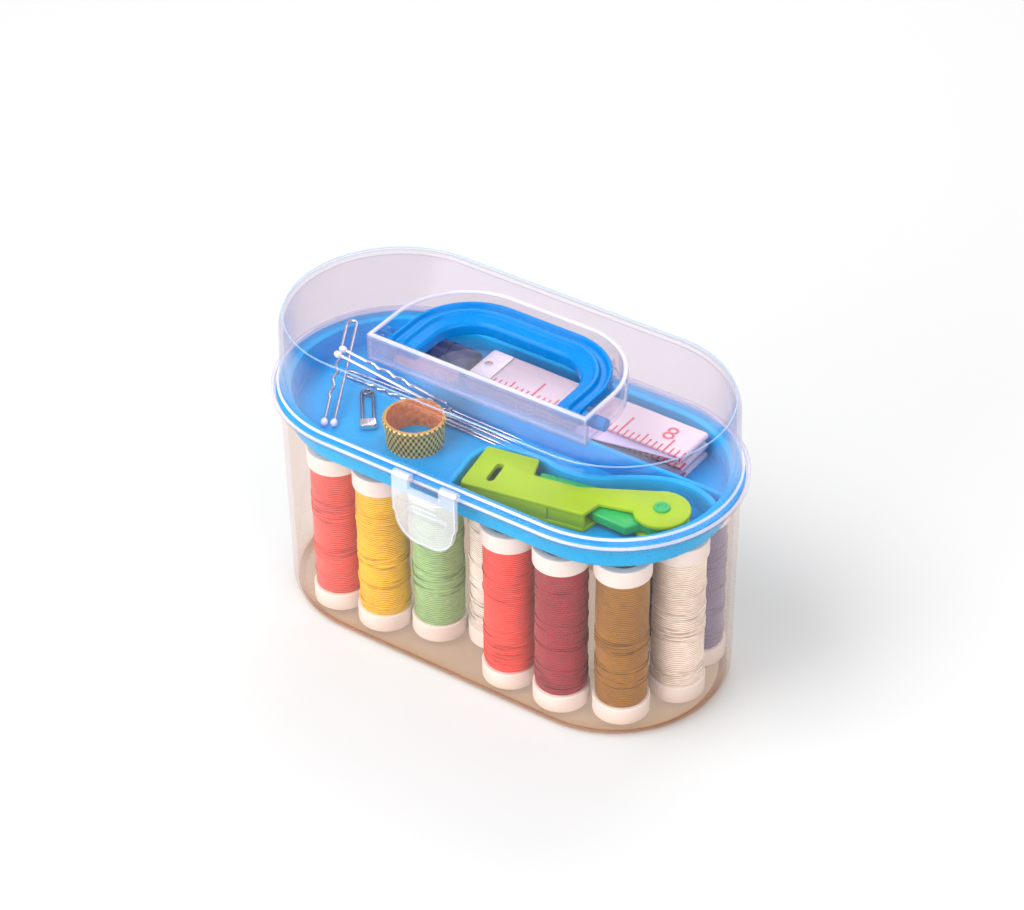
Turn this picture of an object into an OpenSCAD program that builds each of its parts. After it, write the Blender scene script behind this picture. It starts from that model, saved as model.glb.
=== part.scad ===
// Sewing box with a lift-out tray, a lift-off lid, a fold-down handle and its sewing things.
// Millimetres. X runs along the box, Y from the front to the back, Z up from the table.

/* [Box] */
// half length of the straight sides
half_len = 31.25; // [20:0.25:50]
// radius of the widest rim at the round ends
rim_r = 31.25; // [25:0.25:45]
// height from the table to the lid's top
box_h = 80; // [60:0.5:120]
// wall thickness of the clear base and lid
wall = 1.2; // [0.8:0.1:2.5]
// height of the base, where the tray's flange rests
base_h = 58; // [40:0.5:80]
// outside radius of the base wall at its top
base_r = 29.2; // [24:0.1:40]
// how far the base wall leans in towards its foot
base_draft = 0.5; // [0:0.1:1.5]
// rounding of the base's foot
foot_round = 3; // [1:0.5:6]
// thickness of the base's floor
base_floor = 1.4; // [0.8:0.1:3]

/* [Lid] */
// outside radius of the lid wall at its foot
lid_r = 29; // [24:0.1:40]
// how far the lid wall leans in towards its top
lid_draft = 0.4; // [0:0.1:1.5]
// rounding of the lid's top edge
lid_round = 3.8; // [1:0.1:6]
// depth of the skirt that hangs over the tray's flange
skirt_h = 1.75; // [1.5:0.05:5]
// half width of the handle pocket
pocket_x = 29.8; // [20:0.1:40]
// front edge of the handle pocket
pocket_front = -11.4; // [-20:0.1:0]
// back edge of the handle pocket
pocket_back = 18.2; // [10:0.1:25]
// corner radius of the handle pocket
pocket_r = 19; // [5:0.5:22]
// depth of the handle pocket
pocket_depth = 6.8; // [5:0.1:12]

/* [Handle] */
// half width over the handle's arms
handle_x = 27; // [18:0.1:30]
// back edge of the folded handle
handle_back = 16.8; // [8:0.1:20]
// outer corner radius of the handle
handle_r = 17.3; // [5:0.1:20]
// width of the handle's bar
handle_w = 7.4; // [4:0.1:10]
// thickness of the handle's bar
handle_t = 4.8; // [3:0.1:8]
// where the pivot lies from front to back
pivot_y = -7.7; // [-15:0.1:0]
// height of the pivot
pivot_z = 76.3; // [60:0.1:120]
// radius of the pivot pins
pin_r = 1.6; // [1:0.1:3]

/* [Tray] */
// outside radius of the tray's tub
tray_r = 27.3; // [20:0.1:40]
// thickness of the tray's walls
tray_wall = 1; // [0.8:0.1:2]
// top of the tray's floor
tray_floor = 51.8; // [30:0.1:70]
// thickness of the tray's floor
tray_floor_t = 1.2; // [0.8:0.1:2]
// outside radius of the tray's flange
flange_r = 30.2; // [24:0.1:42]
// front face of the long divider
divider_y = 5; // [0:0.1:12]
// left end of the back compartment
back_bay_x = -42; // [-50:0.5:-20]
// height of the divider's top below the tray's rim
divider_drop = 0.6; // [0:0.1:3]

/* [Latches] */
// width of a latch
latch_w = 18; // [10:0.5:30]
// lowest point of a latch
latch_foot = 43.4; // [30:0.1:55]
// thickness of a latch
latch_t = 1.2; // [0.8:0.1:2]
// distance of a latch's hinge from the middle
latch_y = 32.5; // [31:0.1:36]
// height of a latch's hinge
latch_z = 60.7; // [50:0.1:80]

/* [Spools] */
// radius of a spool's bare ends
spool_r = 6.9; // [5:0.1:10]
// length of a spool
spool_h = 46.3; // [30:0.1:60]
// radius of the thread on a spool
thread_r = 6.6; // [4:0.1:9]
// radius of the tube under the thread
core_r = 5.8; // [3:0.1:8]
// radius of the hole through a spool
bore_r = 4.7; // [2:0.1:7]
// length of each bare end
spool_end = 4.7; // [2:0.1:10]

/* [Tools] */
// where the snips' head corner lies
snips_at = [3.0, -17.4]; // [-30:0.1:30]
// turn of the snips in the tray
snips_turn = 10; // [0:1:30]
// underside of the snips
snips_z = 53.4; // [50:0.1:60]
// height of the snips' casing
snips_h = 5.6; // [4:0.1:8]
// outside radius of the ring thimble
thimble_r = 7.5; // [6:0.1:10]
// height of the ring thimble
thimble_h = 7.4; // [5:0.1:20]
// width of the tape measure
tape_w = 12; // [8:0.5:20]
// thickness of the tape
tape_t = 0.5; // [0.3:0.1:1]
// distance between the tape's folded layers
tape_pitch = 1.4; // [1:0.1:3]

/* [Hidden] */
$fn = 64;
RED = 0;
YELLOW = 1;
GREEN = 2;
WHITE = 3;
CORAL = 4;
CRIMSON = 5;
BROWN = 6;
BEIGE = 7;
NAVY = 8;
BLACK = 9;
// where each spool stands, in the order of the numbers above
spool_at = [
    [-38.0, -18.1], [-23.9, -18.7], [-10.5, -14.3], [2.9, -9.2], [14.0, -19.2],
    [28.8, -19.2], [43.0, -14.8], [49.8, -0.8], [46.9, 13.2], [32.0, 8.0]
];
spool_colour = [
    [0.86, 0.33, 0.30], [1.0, 0.68, 0.12], [0.58, 0.74, 0.50], [0.94, 0.91, 0.86], [1.0, 0.36, 0.33],
    [0.68, 0.22, 0.28], [0.60, 0.42, 0.17], [0.90, 0.79, 0.73], [0.33, 0.32, 0.48], [0.10, 0.10, 0.12]
];
CLEAR = [0.93, 0.90, 0.95, 0.35];
TRAY_BLUE = [0.16, 0.55, 0.90];
HANDLE_BLUE = [0.04, 0.48, 0.88];
LIME = [0.72, 0.86, 0.16];
STEEL = [0.75, 0.76, 0.78];

tray_top = base_h + tray_wall;
lid_foot = tray_top;
flange_t = 0.8;
skirt_gap = 0.3;
run_gap = 0.05;
pocket_floor = box_h - pocket_depth;
tray_in = tray_r - tray_wall;
divider_t = 1.2;
catch_w = 10;
catch_out = rim_r;
catch_top = 54;
catch_h = 2.6;
eye_r = 1.2;
bar_r = 0.6;
lug_w = 8.4;
window_w = 8.8;
window_foot = 58.3;
boss_r = 3;
pin_end = 33.4;
pivot_reach = handle_x - 0.3;
plate_t = 1.2;
rivet_at = [46.6, 1.8];
rivet_r = 1.2;
lever_t = 2.6;
thimble_at = [-19.4, -10.4];
tape_x0 = -19;
tape_x1 = 41.5;
tape_y0 = 10.8;
tape_layers = 6;
snips_wall = [
    [-2.4, -14], [-2.4, 9.4], [14.6, 9.2], [17.5, 7.0], [27, 6.4], [34, 10.2],
    [41, 13.0], [47, 13.8], [53, 12.0], [60, 6.5]
];

// ---- shared shapes ----

// a solid swept round the box's outline from a profile of (distance from the middle line, height)
module swept() {
    for (side = [-1, 1]) {
        translate([side * half_len, 0, 0])
            rotate([0, 0, side * -90])
                rotate_extrude(angle = 180)
                    children();
    }
    for (turn = [0, 180]) {
        rotate([0, 0, turn])
            translate([-half_len, 0, 0])
                rotate([90, 0, 90])
                    linear_extrude(2 * half_len)
                        children();
    }
}

// a flat outline with two round ends
module long_oval(r) {
    square([2 * half_len, 2 * r], center = true);
    for (side = [-1, 1]) {
        translate([side * half_len, 0])
            circle(r);
    }
}

// the outline of the pocket and of the handle: straight in front, two round corners behind
module d_outline(half_x, front, back, r) {
    intersection() {
        translate([-half_x, front])
            square([2 * half_x, back - front]);
        union() {
            translate([-half_x, front])
                square([2 * half_x, back - r - front]);
            translate([-(half_x - r), front])
                square([2 * (half_x - r), back - front]);
            for (side = [-1, 1]) {
                translate([side * (half_x - r), back - r])
                    circle(r);
            }
        }
    }
}

// a round bar along X
module bar_x(x0, x1, r) {
    translate([x0, 0, 0])
        rotate([0, 90, 0])
            cylinder(h = x1 - x0, r = r);
}

// a wire bent back on itself: its arms lie along +X and its bend is at the origin
module hairpin(length, gap, r) {
    rotate([0, 0, 90])
        rotate_extrude(angle = 180)
            translate([gap / 2, 0])
                circle(r);
    for (side = [-1, 1]) {
        translate([0, side * gap / 2, 0])
            bar_x(0, length, r);
    }
}

// the way across a path at point i, and long enough to keep a wall's thickness round a bend
function across(points, i) =
    let (
        before = points[max(i, 1)] - points[max(i, 1) - 1],
        after = points[min(i, len(points) - 2) + 1] - points[min(i, len(points) - 2)],
        mean = before / norm(before) + after / norm(after),
        way = [-mean[1], mean[0]] / norm(mean)
    )
    way * norm(before) / (way * [-before[1], before[0]]);

// one side of a wall that follows the points given
function beside(points, d) = [for (i = [0 : len(points) - 1]) points[i] + d * across(points, i)];

// the outline of a wall that follows the points given
module wall_outline(points, t) {
    far_side = beside(points, -t / 2);
    polygon(concat(beside(points, t / 2), [for (i = [1 : len(points)]) far_side[len(points) - i]]));
}

// moves what follows into the snips' own frame
module in_snips() {
    translate(snips_at)
        rotate(snips_turn)
            children();
}

// ---- base ----

module base_profile() {
    foot_r = base_r - base_draft;
    difference() {
        polygon([
            [0, 0], [foot_r, 0], [foot_r, foot_round], [base_r, base_h - 3],
            [base_r, base_h - 1.6], [flange_r, base_h - 1.2], [flange_r, base_h],
            [base_r - wall, base_h], [foot_r - wall, base_floor], [0, base_floor]
        ]);
        translate([foot_r - foot_round, 0])
            difference() {
                square(foot_round);
                translate([0, foot_round])
                    circle(foot_round);
            }
    }
}

module catch_block() {
    translate([-catch_w / 2, -catch_out, catch_top - catch_h])
        cube([catch_w, catch_out - base_r + wall * 0.7, catch_h]);
}

module base_shell() {
    color(CLEAR) {
        swept()
            base_profile();
        for (turn = [0, 180]) {
            rotate([0, 0, turn])
                catch_block();
        }
    }
}

// ---- tray ----

module tray_profile() {
    under = tray_floor - tray_floor_t;
    polygon([
        [0, under], [tray_r - 1, under], [tray_r, under + 1], [tray_r, base_h],
        [flange_r, base_h], [flange_r, tray_top], [tray_in, tray_top],
        [tray_in, tray_floor], [0, tray_floor]
    ]);
}

// from inside the tray's floor up to a height, clipped to the tub
module in_tub(top) {
    foot = tray_floor - tray_floor_t / 2;
    translate([0, 0, foot])
        linear_extrude(top - foot)
            intersection() {
                long_oval(tray_r - tray_wall / 2);
                children();
            }
}

// the walls round the back compartment: one along the tray, one across it at the left
module back_bay() {
    in_tub(tray_top - divider_drop)
        wall_outline([
            [back_bay_x, tray_r + 2], [back_bay_x, divider_y + divider_t / 2],
            [half_len + tray_r + 2, divider_y + divider_t / 2]
        ], divider_t);
}

// the snips' own bay: a wall round them and a raised floor under them
module snips_bay() {
    in_tub(tray_top - divider_drop / 2)
        in_snips()
            wall_outline(snips_wall, 1.6);
    in_tub(snips_z)
        in_snips()
            polygon(concat(snips_wall, [[60, -14]]));
}

module tray() {
    color(TRAY_BLUE) {
        swept()
            tray_profile();
        back_bay();
        snips_bay();
    }
}

// ---- lid ----

module lid_outer_profile() {
    top_r = lid_r - lid_draft;
    difference() {
        polygon([
            [0, lid_foot], [rim_r - 0.3, lid_foot], [rim_r, lid_foot + 0.3],
            [rim_r, lid_foot + flange_t - 0.3], [rim_r - 0.3, lid_foot + flange_t],
            [lid_r + 0.7, lid_foot + flange_t + 0.4], [lid_r, lid_foot + flange_t + 1.6],
            [top_r, box_h - lid_round], [top_r, box_h], [0, box_h]
        ]);
        translate([top_r - lid_round, box_h - lid_round])
            difference() {
                square(lid_round + 0.001);
                circle(lid_round);
            }
    }
}

module lid_inner_profile() {
    in_top = lid_r - lid_draft - wall;
    in_round = lid_round - wall;
    difference() {
        polygon([
            [0, lid_foot - 1], [lid_r - wall, lid_foot - 1], [lid_r - wall, lid_foot + flange_t + 1.6],
            [in_top, box_h - lid_round], [in_top, box_h - wall], [0, box_h - wall]
        ]);
        translate([in_top - in_round, box_h - lid_round])
            difference() {
                square(in_round + 0.001);
                circle(in_round);
            }
    }
}

module skirt_profile() {
    low = lid_foot + flange_t - skirt_h;
    translate([flange_r + skirt_gap, low])
        square([rim_r - flange_r - skirt_gap, skirt_h - 0.4]);
}

module hinge_lug() {
    translate([-lug_w / 2, -latch_y - bar_r, lid_foot + 0.2])
        cube([lug_w, latch_y + bar_r - lid_r, latch_z + bar_r - lid_foot - 0.2]);
    translate([0, -latch_y, latch_z])
        bar_x(-latch_w / 2 + 0.2, latch_w / 2 - 0.2, bar_r);
}

module pocket_shell() {
    translate([0, 0, pocket_floor - wall])
        linear_extrude(pocket_depth + wall - 0.3)
            d_outline(pocket_x + wall, pocket_front - wall, pocket_back + wall, pocket_r + wall);
}

module pocket_hollow() {
    translate([0, 0, pocket_floor])
        linear_extrude(pocket_depth + 1)
            d_outline(pocket_x, pocket_front, pocket_back, pocket_r);
}

module handle_bosses() {
    for (side = [-1, 1]) {
        x_in = side * (pocket_x + wall / 2);
        translate([min(x_in, x_in - side * 2.2), pivot_y, pivot_z])
            bar_x(0, 2.2, boss_r);
    }
}

module lid() {
    color(CLEAR) {
        difference() {
            union() {
                difference() {
                    swept()
                        lid_outer_profile();
                    swept()
                        lid_inner_profile();
                }
                swept()
                    skirt_profile();
                pocket_shell();
                for (turn = [0, 180]) {
                    rotate([0, 0, turn])
                        hinge_lug();
                }
            }
            difference() {
                pocket_hollow();
                handle_bosses();
            }
            translate([0, pivot_y, pivot_z])
                bar_x(-pocket_x - 2 * wall, pocket_x + 2 * wall, pin_r + run_gap);
        }
    }
}

// ---- handle and latches ----

module handle() {
    color(HANDLE_BLUE) {
        difference() {
            union() {
                translate([0, 0, pivot_z - handle_t / 2])
                    linear_extrude(handle_t)
                        d_outline(handle_x, pivot_y, handle_back, handle_r);
                for (side = [-1, 1]) {
                    x_in = side * (handle_x - handle_w);
                    translate([min(x_in, side * handle_x), pivot_y, pivot_z])
                        bar_x(0, handle_w, handle_t / 2);
                }
            }
            translate([0, 0, pivot_z - handle_t])
                linear_extrude(2 * handle_t)
                    d_outline(
                        handle_x - handle_w, pivot_y - handle_t,
                        handle_back - handle_w, handle_r - handle_w
                    );
        }
        for (side = [-1, 1]) {
            translate([side > 0 ? pivot_reach : -pin_end, pivot_y, pivot_z])
                bar_x(0, pin_end - pivot_reach, pin_r);
        }
    }
}

module latch_outline() {
    low_r = 6.5;
    low_x = latch_w / 2 - low_r - 0.7;
    full_z = latch_foot + low_r + 1.5;
    translate([-latch_w / 2, full_z])
        square([latch_w, latch_z - full_z]);
    translate([-low_x, latch_foot])
        square([2 * low_x, 2 * low_r]);
    for (side = [-1, 1]) {
        translate([side * low_x, latch_foot + low_r])
            circle(low_r);
    }
    polygon([
        [-latch_w / 2, full_z], [-low_x - low_r, latch_foot + low_r],
        [low_x + low_r, latch_foot + low_r], [latch_w / 2, full_z]
    ]);
}

module latch() {
    outer = latch_y + eye_r;
    inner = outer - latch_t;
    difference() {
        union() {
            translate([0, -inner, 0])
                rotate([90, 0, 0])
                    linear_extrude(latch_t)
                        difference() {
                            latch_outline();
                            translate([-window_w / 2, window_foot])
                                square([window_w, latch_z]);
                        }
            for (side = [-1, 1]) {
                x_in = side * window_w / 2;
                translate([min(x_in, side * latch_w / 2), -latch_y, latch_z])
                    bar_x(0, (latch_w - window_w) / 2, eye_r);
            }
            translate([-catch_w / 2, -inner - 0.2, catch_top - catch_h - 1.6])
                cube([catch_w, inner + 0.2 - catch_out - 0.1, 1.4]);
        }
        translate([0, -latch_y, latch_z])
            bar_x(-latch_w, latch_w, bar_r + run_gap);
    }
}

module latch_front() {
    color(CLEAR)
        latch();
}

module latch_back() {
    color(CLEAR)
        rotate([0, 0, 180])
            latch();
}

// ---- spools ----

module spool_tube(i) {
    color([0.95, 0.94, 0.92])
        translate([spool_at[i][0], spool_at[i][1], base_floor])
            rotate_extrude()
                polygon([
                    [bore_r, 0], [spool_r, 0], [spool_r, spool_end], [core_r, spool_end],
                    [core_r, spool_h - spool_end], [spool_r, spool_h - spool_end],
                    [spool_r, spool_h], [bore_r, spool_h]
                ]);
}

module thread_wrap(i) {
    color(spool_colour[i])
        translate([spool_at[i][0], spool_at[i][1], base_floor + spool_end])
            rotate_extrude()
                polygon([
                    [core_r, 0], [thread_r - 0.3, 0], [thread_r, 0.5],
                    [thread_r, spool_h - 2 * spool_end - 0.5],
                    [thread_r - 0.3, spool_h - 2 * spool_end], [core_r, spool_h - 2 * spool_end]
                ]);
}

// ---- snips ----

module casing_outline() {
    polygon([
        [0, -7.6], [31, -7.4], [32.8, -2.2], [40.8, -1.4], [42.6, -3.2], [rivet_at[0], -1],
        [rivet_at[0], 8.4], [40, 7.2], [26, 1.7], [14.6, 1.6], [13.4, 7.6], [0, 7.6]
    ]);
    translate(rivet_at)
        circle(6.8);
}

module casing_foot_outline() {
    casing_outline();
    polygon([[22, 1.7], [26, 1.7], [40, 7.2], [41.4, 9.8]]);
}

module snips_casing() {
    color(LIME)
        difference() {
            translate([0, 0, snips_z])
                in_snips() {
                    linear_extrude(plate_t)
                        casing_foot_outline();
                    translate([0, 0, snips_h - plate_t])
                        linear_extrude(plate_t)
                            casing_outline();
                    translate([0, -7.4, 0])
                        cube([31, 1.2, snips_h]);
                    translate([0, -7.4, 0])
                        cube([1.2, 14.8, snips_h]);
                }
            in_snips() {
                translate([rivet_at[0], rivet_at[1], snips_z - 1])
                    cylinder(h = snips_h + 2, r = rivet_r);
                translate([6, -3.8, snips_z + snips_h / 2])
                    cylinder(h = snips_h, r = 1);
                translate([6, 1.4, snips_z + snips_h / 2])
                    cylinder(h = snips_h, r = 1);
                translate([5, -3.8, snips_z + snips_h / 2])
                    cube([2, 5.2, snips_h]);
            }
        }
}

module snips_lever() {
    color([0.10, 0.62, 0.28])
        in_snips()
            difference() {
                translate([0, 0, snips_z + (snips_h - lever_t) / 2])
                    linear_extrude(lever_t) {
                        polygon([
                            [15, 2.6], [25, 2.4], [32, -4.4], [42, -6.6], [rivet_at[0], -3.8],
                            [rivet_at[0], 7.6], [36, 5.6], [26, 5.2], [15, 5.2]
                        ]);
                        translate(rivet_at)
                            circle(5.8);
                    }
                translate([rivet_at[0], rivet_at[1], snips_z])
                    cylinder(h = snips_h, r = rivet_r + run_gap);
            }
}

module snips_rivet() {
    color([0.12, 0.60, 0.30])
        in_snips()
            translate([rivet_at[0], rivet_at[1], snips_z]) {
                cylinder(h = snips_h + 0.1, r = rivet_r);
                translate([0, 0, snips_h])
                    cylinder(h = 0.6, r = 1.9);
            }
}

// ---- small things in the tray ----

module thimble() {
    color([0.80, 0.58, 0.30])
        translate([thimble_at[0], thimble_at[1], tray_floor])
            difference() {
                rotate_extrude()
                    polygon([
                        [thimble_r - 1.2, 0], [thimble_r - 0.5, 0], [thimble_r, thimble_h - 0.8],
                        [thimble_r + 0.3, thimble_h], [thimble_r - 0.5, thimble_h],
                        [thimble_r - 0.8, thimble_h - 0.8]
                    ]);
                rotate([0, 0, 20])
                    translate([0, -0.4, -1])
                        cube([2 * thimble_r, 0.8, thimble_h + 2]);
            }
}

module tape_measure() {
    fold_r = tape_pitch / 2;
    color([0.95, 0.90, 0.93])
        for (i = [0 : tape_layers - 1]) {
            z = tray_floor + i * tape_pitch;
            translate([tape_x0, tape_y0, z])
                cube([tape_x1 - tape_x0, tape_w, tape_t]);
            if (i < tape_layers - 1) {
                at_end = i % 2 == 0;
                translate([at_end ? tape_x1 : tape_x0, tape_y0, z + fold_r + tape_t / 2])
                    rotate([-90, at_end ? -90 : 90, 0])
                        rotate_extrude(angle = 180)
                            translate([fold_r - tape_t / 2, 0])
                                square([tape_t, tape_w]);
            }
        }
}

module tape_tip() {
    top = tray_floor + (tape_layers - 1) * tape_pitch + tape_t;
    color(STEEL)
        translate([tape_x0, tape_y0 + 0.3, top])
            cube([6, tape_w - 0.6, 0.4]);
}

bobby_r = 0.45;
bobby_gap = 2.4;
bobby_tip_r = 0.9;
// one bobby pin leans on the tray's rim, one lies flat on its floor and one lies across both
bobby_at = [[-53.8, 10.6, 60.6], [-48.6, 2.5, 52.35], [-21, 3.2, 53.6]];
bobby_drop = [14, -0.9, -12.6];
bobby_turn = [-63.8, 0, 186];
bobby_len = [32, 23.5, 29.5];

// moves what follows into a bobby pin's own frame
module in_bobby(i) {
    translate(bobby_at[i])
        rotate([0, bobby_drop[i], bobby_turn[i]])
            children();
}

module bobby_pins() {
    color([0.80, 0.82, 0.90])
        for (i = [0 : len(bobby_at) - 1]) {
            in_bobby(i)
                hairpin(bobby_len[i], bobby_gap, bobby_r);
        }
}

module bobby_tips() {
    color([0.96, 0.96, 0.96])
        for (i = [0 : len(bobby_at) - 1], side = [-1, 1]) {
            in_bobby(i)
                translate([bobby_len[i], side * bobby_gap / 2, 0])
                    difference() {
                        sphere(r = bobby_tip_r);
                        bar_x(-2, 0.02, bobby_r + 0.02);
                    }
        }
}

safety_r = 0.4;
safety_gap = 2.8;
safety_len = [13.4, 15];
safety_at = [[-31.9, -12.4, 52.5], [-28.4, -22.4, 52.5]];
safety_turn = [128, 2];

// moves what follows into a safety pin's own frame, whose origin is in its cap
module in_safety(i) {
    translate(safety_at[i])
        rotate([0, 0, safety_turn[i]])
            children();
}

module safety_pins() {
    color(STEEL)
        for (i = [0, 1]) {
            in_safety(i)
                translate([safety_len[i], 0, 0])
                    rotate([0, 0, 180])
                        hairpin(safety_len[i] - 1.6, safety_gap, safety_r);
        }
}

module safety_caps() {
    color([0.85, 0.86, 0.88])
        for (i = [0, 1]) {
            in_safety(i)
                difference() {
                    translate([-1.2, -2.2, -0.7])
                        cube([3.4, 4.4, 1.6]);
                    for (side = [-1, 1]) {
                        translate([1.0, side * safety_gap / 2, 0])
                            bar_x(0, 2, safety_r + 0.02);
                    }
                }
        }
}

needle_r = 0.35;
needle_from = [[-22.5, -0.9], [-22, 0.4], [-21.5, 1.7], [-20.5, 3.0], [-20, 4.2]];
needle_turn = [-1, -2, -1, -2, -1];
needle_drop = 0.5;
needle_len = 22;
head_r = 0.55;

// moves what follows into a needle's own frame: its head rests on the floor and its point almost does
module in_needle(i) {
    translate([needle_from[i][0], needle_from[i][1], tray_floor + head_r + 0.02])
        rotate([0, needle_drop, needle_turn[i]])
            children();
}

module needles() {
    color(STEEL)
        for (i = [0 : len(needle_from) - 1]) {
            in_needle(i)
                bar_x(0, needle_len, needle_r);
        }
}

module pin_heads() {
    color([0.93, 0.93, 0.95])
        for (i = [0 : len(needle_from) - 1]) {
            in_needle(i)
                difference() {
                    bar_x(-0.3, 0.8, head_r);
                    bar_x(0, 1, needle_r);
                }
        }
}

module needle_card() {
    color([0.25, 0.30, 0.45])
        translate([8, divider_y + divider_t + 0.3, tray_floor])
            cube([36, 3.2, 5.6]);
}

module needle_case() {
    color([0.10, 0.16, 0.36])
        translate([0, 19.2, tray_floor + 3.6])
            bar_x(-41, -22, 3.6);
}

module chalk() {
    color([0.93, 0.70, 0.60])
        translate([-31.7, 11.2, tray_floor])
            linear_extrude(4.2) {
                square([12, 7], center = true);
                for (side = [-1, 1]) {
                    translate([side * 6, 0])
                        circle(3.5);
                }
            }
}

base_shell();
tray();
lid();
handle();
latch_front();
latch_back();
spool_tube(RED);  // spool_red
spool_tube(YELLOW);  // spool_yellow
spool_tube(GREEN);  // spool_green
spool_tube(WHITE);  // spool_white
spool_tube(CORAL);  // spool_coral
spool_tube(CRIMSON);  // spool_crimson
spool_tube(BROWN);  // spool_brown
spool_tube(BEIGE);  // spool_beige
spool_tube(NAVY);  // spool_navy
spool_tube(BLACK);  // spool_black
thread_wrap(RED);  // thread_red
thread_wrap(YELLOW);  // thread_yellow
thread_wrap(GREEN);  // thread_green
thread_wrap(WHITE);  // thread_white
thread_wrap(CORAL);  // thread_coral
thread_wrap(CRIMSON);  // thread_crimson
thread_wrap(BROWN);  // thread_brown
thread_wrap(BEIGE);  // thread_beige
thread_wrap(NAVY);  // thread_navy
thread_wrap(BLACK);  // thread_black
snips_casing();
snips_lever();
snips_rivet();
thimble();
tape_measure();
tape_tip();
bobby_pins();
bobby_tips();
safety_pins();
safety_caps();
needles();
pin_heads();
needle_card();
needle_case();
chalk();
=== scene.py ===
"""Looks for a small clear sewing box with a blue lift-out tray and its sewing things."""

import math
import random

import bmesh
import bpy
from mathutils import Matrix, Vector, noise


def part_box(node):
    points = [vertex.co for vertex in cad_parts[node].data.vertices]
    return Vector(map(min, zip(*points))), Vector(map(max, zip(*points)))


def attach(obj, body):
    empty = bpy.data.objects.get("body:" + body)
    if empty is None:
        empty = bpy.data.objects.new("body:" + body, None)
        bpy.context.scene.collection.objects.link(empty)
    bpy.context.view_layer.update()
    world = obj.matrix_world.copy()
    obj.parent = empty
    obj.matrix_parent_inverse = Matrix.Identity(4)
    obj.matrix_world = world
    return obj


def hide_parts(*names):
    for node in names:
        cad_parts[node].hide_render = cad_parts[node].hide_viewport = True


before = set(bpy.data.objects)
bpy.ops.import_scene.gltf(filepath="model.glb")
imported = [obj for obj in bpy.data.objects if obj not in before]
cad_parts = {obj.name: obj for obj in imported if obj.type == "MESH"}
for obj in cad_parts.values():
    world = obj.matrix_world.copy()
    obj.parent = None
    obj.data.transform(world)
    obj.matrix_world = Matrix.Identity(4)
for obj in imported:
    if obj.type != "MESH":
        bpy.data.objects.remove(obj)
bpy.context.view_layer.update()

MM = 0.001
COLOURS = ("red", "yellow", "green", "white", "coral", "crimson", "brown", "beige", "navy", "black")

# Sizes in millimetres, the same as in the CAD model. POCKET is the handle pocket's half length, front,
# back and corner radius. CONTACT_GAP keeps the tray's faces off the lid and base it touches.
HALF_LEN = 31.25
TUB_R = 27.3
TUB_WALL = 1.0
FLANGE_R = 30.2
TRAY_FLOOR = 51.8
TRAY_UNDER = 50.6
BASE_TOP = 58.0
TRAY_TOP = 59.0
CONTACT_GAP = 0.03
DIVIDER_Y = 5.6
BACK_BAY_X = -42.0
SNIPS_AT = Vector((3.0, -17.4))
SNIPS_TURN = math.radians(10)
SNIPS_Z = 53.4
SNIPS_H = 5.6
RIVET = Vector((46.6, 1.8))
SPOOL_R = 6.9
SPOOL_H = 46.3
SPOOL_END = 4.7
THREAD_R = 6.6
CORE_R = 5.8
BORE_R = 4.7
PACK_R = THREAD_R - 0.42
WOUND_H = SPOOL_H - 2 * SPOOL_END
TAPE_Y = (10.8, 22.8)
TAPE_X = (-19.0, 41.5)
TAPE_PITCH = 1.4
TAPE_LAYERS = 6
TAPE_THICK = 0.32
TAPE_FOOT = TRAY_FLOOR + 0.25
BOX_H = 80.0
RIM_R = 31.25
CROWN_R = 29.5
POCKET = (29.8, -11.4, 18.2, 19.0)
POCKET_FLOOR = 73.2
LID_WALL = 1.2
PIVOT_Y = -7.7
PIVOT_Z = 76.3
LATCH_OUT = 33.7
LATCH_W = 18.0
LATCH_FOOT = 43.4
LATCH_TOP = 60.0


# ---- plane outlines ----

def arc(centre, radius, start, end, steps):
    """Points on an arc, from start to end in degrees."""
    points = []
    for i in range(steps + 1):
        a = math.radians(start + (end - start) * i / steps)
        points.append((centre[0] + radius * math.cos(a), centre[1] + radius * math.sin(a)))
    return points


def oblong(x0, y0, x1, y1):
    """The outline of a rectangle between two corners."""
    return [(x0, y0), (x1, y0), (x1, y1), (x0, y1)]


def rounded(outline, radius, steps=4):
    """A closed outline with each corner cut to a small arc."""
    points = []
    count = len(outline)
    for i in range(count):
        corner = Vector(outline[i])
        before = Vector(outline[i - 1]) - corner
        after = Vector(outline[(i + 1) % count]) - corner
        angle = before.angle(after)
        if angle > math.radians(174):
            points.append(tuple(corner))
            continue
        reach = min(radius / math.tan(angle / 2), 0.45 * before.length, 0.45 * after.length)
        first = corner + before.normalized() * reach
        last = corner + after.normalized() * reach
        for k in range(steps + 1):
            t = k / steps
            points.append(tuple(first.lerp(corner, t).lerp(corner.lerp(last, t), t)))
    return points


def area(outline):
    """Signed area of a closed outline, positive when it runs anticlockwise."""
    total = 0.0
    for i, (x, y) in enumerate(outline):
        px, py = outline[i - 1]
        total += px * y - x * py
    return total / 2


def corners(path, closed=True):
    """Each corner of a path, with the step that moves both its sides one to the right."""
    last = len(path) - 1
    for i, corner in enumerate(path):
        here = Vector(corner)
        before = (here - Vector(path[i - 1])).normalized()
        after = (Vector(path[(i + 1) % len(path)]) - here).normalized()
        if i == 0 and not closed:
            before = after
        if i == last and not closed:
            after = before
        out = Vector((before.y + after.y, -before.x - after.x))
        if out.length > 1e-6:
            out.normalize()
            out /= max(0.5, out.dot(Vector((before.y, -before.x))))
        yield here, out


def inset(outline, depth):
    """An anticlockwise outline drawn in by a small depth."""
    return [tuple(here - out * depth) for here, out in corners(outline)]


def wall_outline(path, thickness):
    """The outline of a wall that follows an open path."""
    steps = list(corners(path, closed=False))
    left = [tuple(here - out * thickness / 2) for here, out in steps]
    right = [tuple(here + out * thickness / 2) for here, out in steps]
    return left + right[::-1]


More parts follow.
